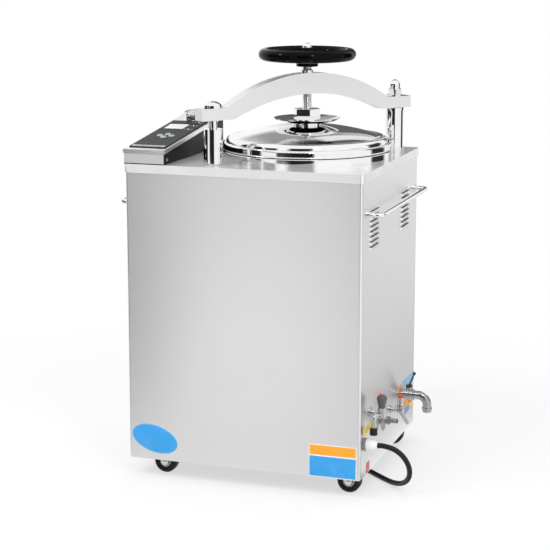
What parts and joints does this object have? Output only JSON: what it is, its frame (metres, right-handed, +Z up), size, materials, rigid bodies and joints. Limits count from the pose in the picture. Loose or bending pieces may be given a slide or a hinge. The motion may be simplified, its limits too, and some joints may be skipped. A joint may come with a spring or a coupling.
{
  "type": "vertical steam sterilizer",
  "caption": "Upright steam sterilizer: steel cabinet on casters, round pressure chamber, domed lid under a swinging yoke beam with screw and hand wheel, control box on top.",
  "frame": {"origin": "on the floor, under the middle of the cabinet's footprint", "axes": "+Z up, -Y towards the front panel, +X towards the side with the water tap and valves"},
  "size_m": [0.6415, 0.6577, 0.9145],
  "materials": {
    "panel_steel": "semi-gloss brushed",
    "mirror_steel": "mirror polished",
    "satin_steel": "satin",
    "frame_paint": "semi-gloss",
    "heater_sheath": "dull",
    "seal_rubber": "matte",
    "insulation_wool": "matte",
    "wheel_black": "gloss",
    "housing_grey": "satin",
    "cover_black": "gloss",
    "cap_silver": "satin",
    "keypad_dark": "fine grain",
    "key_light": "matte",
    "display_pane": "gloss",
    "light_amber": "gloss",
    "gauge_metal": "polished",
    "needle_red": "satin",
    "gauge_pane": "clear",
    "screw_steel": "polished",
    "gland_white": "satin",
    "gland_grey": "satin",
    "cord_black": "satin",
    "plug_black": "satin",
    "valve_chrome": "polished",
    "valve_brass": "dull plated",
    "knob_grey": "satin",
    "lever_black": "satin",
    "caster_zinc": "zinc",
    "tyre_black": "matte"
  },
  "bodies": {
    "cabinet": {"frame": "frame_paint", "base_pan": "frame_paint", "front_panel": "panel_steel", "left_panel": "panel_steel", "right_panel": "panel_steel", "back_panel": "panel_steel", "top_plate": "mirror_steel", "left_handle": "satin_steel", "right_handle": "satin_steel", "chamber": "satin_steel", "chamber_flange": "mirror_steel", "chamber_gasket": "seal_rubber", "insulation": "insulation_wool", "heater": "heater_sheath", "support_grid": "satin_steel", "pivot_post": "mirror_steel", "latch_post": "mirror_steel", "post_nuts": "mirror_steel", "control_housing": "housing_grey", "control_side_cover": "cover_black", "control_cap": "cap_silver", "control_panel": "keypad_dark", "display_window": "display_pane", "indicator_lights": "light_amber", "gauge_case": "gauge_metal", "gauge_glass": "gauge_pane", "cover_screws": "screw_steel", "cable_gland": "gland_white", "gland_nut": "gland_grey", "power_cord": "cord_black", "cord_coil": "cord_black", "plug": "plug_black", "vent_valve": "valve_chrome", "safety_valve": "valve_chrome", "drain_valve": "valve_brass", "tap_spout": "valve_chrome"},
    "yoke": {"yoke_beam": "satin_steel"},
    "lid": {"lid": "mirror_steel", "lid_saucer": "mirror_steel", "hub_nut": "mirror_steel"},
    "spindle": {"lid_screw": "mirror_steel", "hand_wheel": "wheel_black", "wheel_nut": "mirror_steel"},
    "key_up": {"key_up": "key_light"},
    "key_down": {"key_down": "key_light"},
    "key_set": {"key_set": "key_light"},
    "key_start": {"key_start": "key_light"},
    "gauge_needle": {"gauge_needle": "needle_red"},
    "vent_knob": {"vent_knob": "knob_grey"},
    "safety_ring": {"safety_ring": "valve_chrome"},
    "drain_lever": {"drain_lever": "valve_chrome"},
    "tap_lever": {"tap_lever": "lever_black"},
    "caster_fork_fl": {"caster_fork_fl": "caster_zinc"},
    "caster_wheel_fl": {"caster_wheel_fl": "tyre_black"},
    "caster_fork_fr": {"caster_fork_fr": "caster_zinc"},
    "caster_wheel_fr": {"caster_wheel_fr": "tyre_black"},
    "caster_fork_bl": {"caster_fork_bl": "caster_zinc"},
    "caster_wheel_bl": {"caster_wheel_bl": "tyre_black"},
    "caster_fork_br": {"caster_fork_br": "caster_zinc"},
    "caster_wheel_br": {"caster_wheel_br": "tyre_black"}
  },
  "joints": [
    {"name": "yoke_swing", "type": "hinge", "parent": "cabinet", "child": "yoke", "pos_m": [0.21145, 0.18361, 0.765], "axis": [0, 0, 1], "range_deg": [0, 110]},
    {"name": "lid_lift", "type": "slide", "parent": "yoke", "child": "lid", "axis": [0, 0, 1], "range_m": [0, 0.02401]},
    {"name": "screw_turn", "type": "hinge", "parent": "lid", "child": "spindle", "pos_m": [0.068, 0, 0.865], "axis": [0, 0, 1], "range_deg": [0, 1728]},
    {"name": "key_up_press", "type": "slide", "parent": "cabinet", "child": "key_up", "axis": [0, 0.1123, -0.9937], "range_m": [0, 0.001], "stiffness_N_per_m": 300},
    {"name": "key_down_press", "type": "slide", "parent": "cabinet", "child": "key_down", "axis": [0, 0.1123, -0.9937], "range_m": [0, 0.001], "stiffness_N_per_m": 300},
    {"name": "key_set_press", "type": "slide", "parent": "cabinet", "child": "key_set", "axis": [0, 0.1123, -0.9937], "range_m": [0, 0.001], "stiffness_N_per_m": 300},
    {"name": "key_start_press", "type": "slide", "parent": "cabinet", "child": "key_start", "axis": [0, 0.1123, -0.9937], "range_m": [0, 0.001], "stiffness_N_per_m": 300},
    {"name": "needle_turn", "type": "hinge", "parent": "cabinet", "child": "gauge_needle", "pos_m": [-0.2115, 0.07303, 0.74089], "axis": [0, 0.1123, -0.9937], "range_deg": [0, 270], "stiffness_Nm_per_rad": 0.001},
    {"name": "vent_knob_turn", "type": "hinge", "parent": "cabinet", "child": "vent_knob", "pos_m": [0.28, -0.15, 0.167], "axis": [0, 0, 1], "range_deg": [0, 270]},
    {"name": "safety_ring_pull", "type": "slide", "parent": "cabinet", "child": "safety_ring", "axis": [0, -1, 0], "range_m": [0, 0.003], "stiffness_N_per_m": 2000},
    {"name": "drain_lever_turn", "type": "hinge", "parent": "cabinet", "child": "drain_lever", "pos_m": [0.2623, -0.067, 0.125], "axis": [0, -1, 0], "range_deg": [0, 90]},
    {"name": "tap_lever_turn", "type": "hinge", "parent": "cabinet", "child": "tap_lever", "pos_m": [0.274, 0.105, 0.138], "axis": [0, 0, 1], "range_deg": [0, 90]},
    {"name": "caster_swivel_fl", "type": "hinge", "parent": "cabinet", "child": "caster_fork_fl", "pos_m": [-0.205, -0.175, 0.057], "axis": [0, 0, 1], "continuous": true},
    {"name": "caster_roll_fl", "type": "hinge", "parent": "caster_fork_fl", "child": "caster_wheel_fl", "pos_m": [-0.19, -0.175, 0.025], "axis": [0, 1, 0], "continuous": true},
    {"name": "caster_swivel_fr", "type": "hinge", "parent": "cabinet", "child": "caster_fork_fr", "pos_m": [0.205, -0.175, 0.057], "axis": [0, 0, 1], "continuous": true},
    {"name": "caster_roll_fr", "type": "hinge", "parent": "caster_fork_fr", "child": "caster_wheel_fr", "pos_m": [0.22, -0.175, 0.025], "axis": [0, 1, 0], "continuous": true},
    {"name": "caster_swivel_bl", "type": "hinge", "parent": "cabinet", "child": "caster_fork_bl", "pos_m": [-0.205, 0.175, 0.057], "axis": [0, 0, 1], "continuous": true},
    {"name": "caster_roll_bl", "type": "hinge", "parent": "caster_fork_bl", "child": "caster_wheel_bl", "pos_m": [-0.19, 0.175, 0.025], "axis": [0, 1, 0], "continuous": true},
    {"name": "caster_swivel_br", "type": "hinge", "parent": "cabinet", "child": "caster_fork_br", "pos_m": [0.205, 0.175, 0.057], "axis": [0, 0, 1], "continuous": true},
    {"name": "caster_roll_br", "type": "hinge", "parent": "caster_fork_br", "child": "caster_wheel_br", "pos_m": [0.22, 0.175, 0.025], "axis": [0, 1, 0], "continuous": true}
  ],
  "couplings": [
    {"joint": "lid_lift", "follows": "screw_turn", "m_per_rad": 0.00079577}
  ]
}
